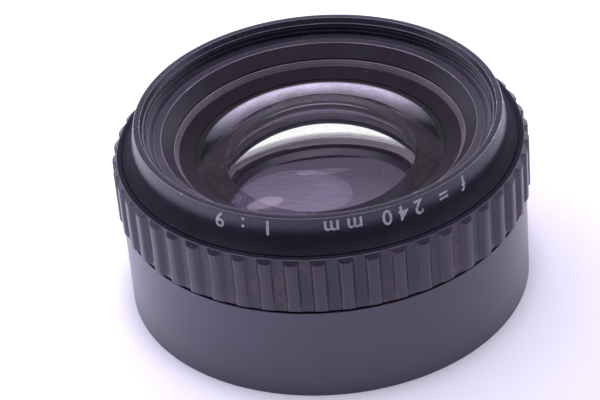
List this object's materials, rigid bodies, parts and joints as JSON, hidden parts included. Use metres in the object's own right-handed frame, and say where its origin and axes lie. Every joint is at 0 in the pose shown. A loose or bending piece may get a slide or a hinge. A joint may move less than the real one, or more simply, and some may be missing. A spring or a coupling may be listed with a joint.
{
  "type": "enlarger lens",
  "caption": "Enlarger lens in a plain barrel: ribbed aperture ring, bevelled front cell with filter thread, two cemented glass groups and an iris worked by the ring.",
  "frame": {"origin": "centre of the rear face, which the lens stands on", "axes": "+Z along the optical axis to the front, +Y towards the side that carries the index, +X to the right seen from -Y"},
  "size_m": [0.062, 0.062, 0.0293],
  "materials": {
    "black_anodised": "satin black anodised aluminium with a faint violet tint, bare metal where the rim is chipped",
    "satin_black_ring": "turned and blackened aluminium, fine turning marks",
    "blackened_brass": "chemically blackened brass",
    "bright_steel": "plain turned steel",
    "blackened_steel": "thin blackened spring steel, dull",
    "coated_glass": "polished optical glass with a single-layer violet and amber coating",
    "white_paint": "white enamel pressed into the mark"
  },
  "bodies": {
    "barrel": {"barrel": "black_anodised", "front_cell": "black_anodised", "front_baffle": "satin_black_ring", "front_retaining_ring": "satin_black_ring", "front_outer_element": "coated_glass", "front_middle_element": "coated_glass", "front_inner_element": "coated_glass", "wave_washer": "bright_steel", "iris_snap_ring": "bright_steel", "iris_spacer_ring": "blackened_brass", "iris_base_plate": "blackened_brass", "iris_screws": "bright_steel", "rear_cell": "black_anodised", "rear_retaining_ring": "satin_black_ring", "rear_outer_element": "coated_glass", "rear_middle_element": "coated_glass", "rear_inner_element": "coated_glass", "front_lock_screws": "bright_steel", "rear_lock_screw": "bright_steel"},
    "aperture_ring": {"aperture_ring": "black_anodised", "ring_index_dot": "white_paint", "drive_screw": "bright_steel", "iris_cam_ring": "blackened_brass"},
    "blade_1": {"iris_blade_1": "blackened_steel"},
    "blade_2": {"iris_blade_2": "blackened_steel"},
    "blade_3": {"iris_blade_3": "blackened_steel"},
    "blade_4": {"iris_blade_4": "blackened_steel"},
    "blade_5": {"iris_blade_5": "blackened_steel"},
    "blade_6": {"iris_blade_6": "blackened_steel"},
    "blade_7": {"iris_blade_7": "blackened_steel"},
    "blade_8": {"iris_blade_8": "blackened_steel"}
  },
  "joints": [
    {"name": "aperture_turn", "type": "hinge", "parent": "barrel", "child": "aperture_ring", "pos_m": [0, 0, 0.0168], "axis": [0, 0, 1], "range_deg": [0, 60]},
    {"name": "blade_1_swing", "type": "hinge", "parent": "barrel", "child": "blade_1", "pos_m": [0.022, 0, 0.0131], "axis": [0, 0, 1], "range_deg": [0, 29.3]},
    {"name": "blade_2_swing", "type": "hinge", "parent": "barrel", "child": "blade_2", "pos_m": [0.01556, 0.01556, 0.0131], "axis": [0, 0, 1], "range_deg": [0, 29.3]},
    {"name": "blade_3_swing", "type": "hinge", "parent": "barrel", "child": "blade_3", "pos_m": [0, 0.022, 0.0131], "axis": [0, 0, 1], "range_deg": [0, 29.3]},
    {"name": "blade_4_swing", "type": "hinge", "parent": "barrel", "child": "blade_4", "pos_m": [-0.01556, 0.01556, 0.0131], "axis": [0, 0, 1], "range_deg": [0, 29.3]},
    {"name": "blade_5_swing", "type": "hinge", "parent": "barrel", "child": "blade_5", "pos_m": [-0.022, 0, 0.0131], "axis": [0, 0, 1], "range_deg": [0, 29.3]},
    {"name": "blade_6_swing", "type": "hinge", "parent": "barrel", "child": "blade_6", "pos_m": [-0.01556, -0.01556, 0.0131], "axis": [0, 0, 1], "range_deg": [0, 29.3]},
    {"name": "blade_7_swing", "type": "hinge", "parent": "barrel", "child": "blade_7", "pos_m": [0, -0.022, 0.0131], "axis": [0, 0, 1], "range_deg": [0, 29.3]},
    {"name": "blade_8_swing", "type": "hinge", "parent": "barrel", "child": "blade_8", "pos_m": [0.01556, -0.01556, 0.0131], "axis": [0, 0, 1], "range_deg": [0, 29.3]}
  ],
  "couplings": [
    {"joint": "blade_1_swing", "follows": "aperture_turn", "ratio": 0.48667},
    {"joint": "blade_2_swing", "follows": "aperture_turn", "ratio": 0.48667},
    {"joint": "blade_3_swing", "follows": "aperture_turn", "ratio": 0.48667},
    {"joint": "blade_4_swing", "follows": "aperture_turn", "ratio": 0.48667},
    {"joint": "blade_5_swing", "follows": "aperture_turn", "ratio": 0.48667},
    {"joint": "blade_6_swing", "follows": "aperture_turn", "ratio": 0.48667},
    {"joint": "blade_7_swing", "follows": "aperture_turn", "ratio": 0.48667},
    {"joint": "blade_8_swing", "follows": "aperture_turn", "ratio": 0.48667}
  ]
}
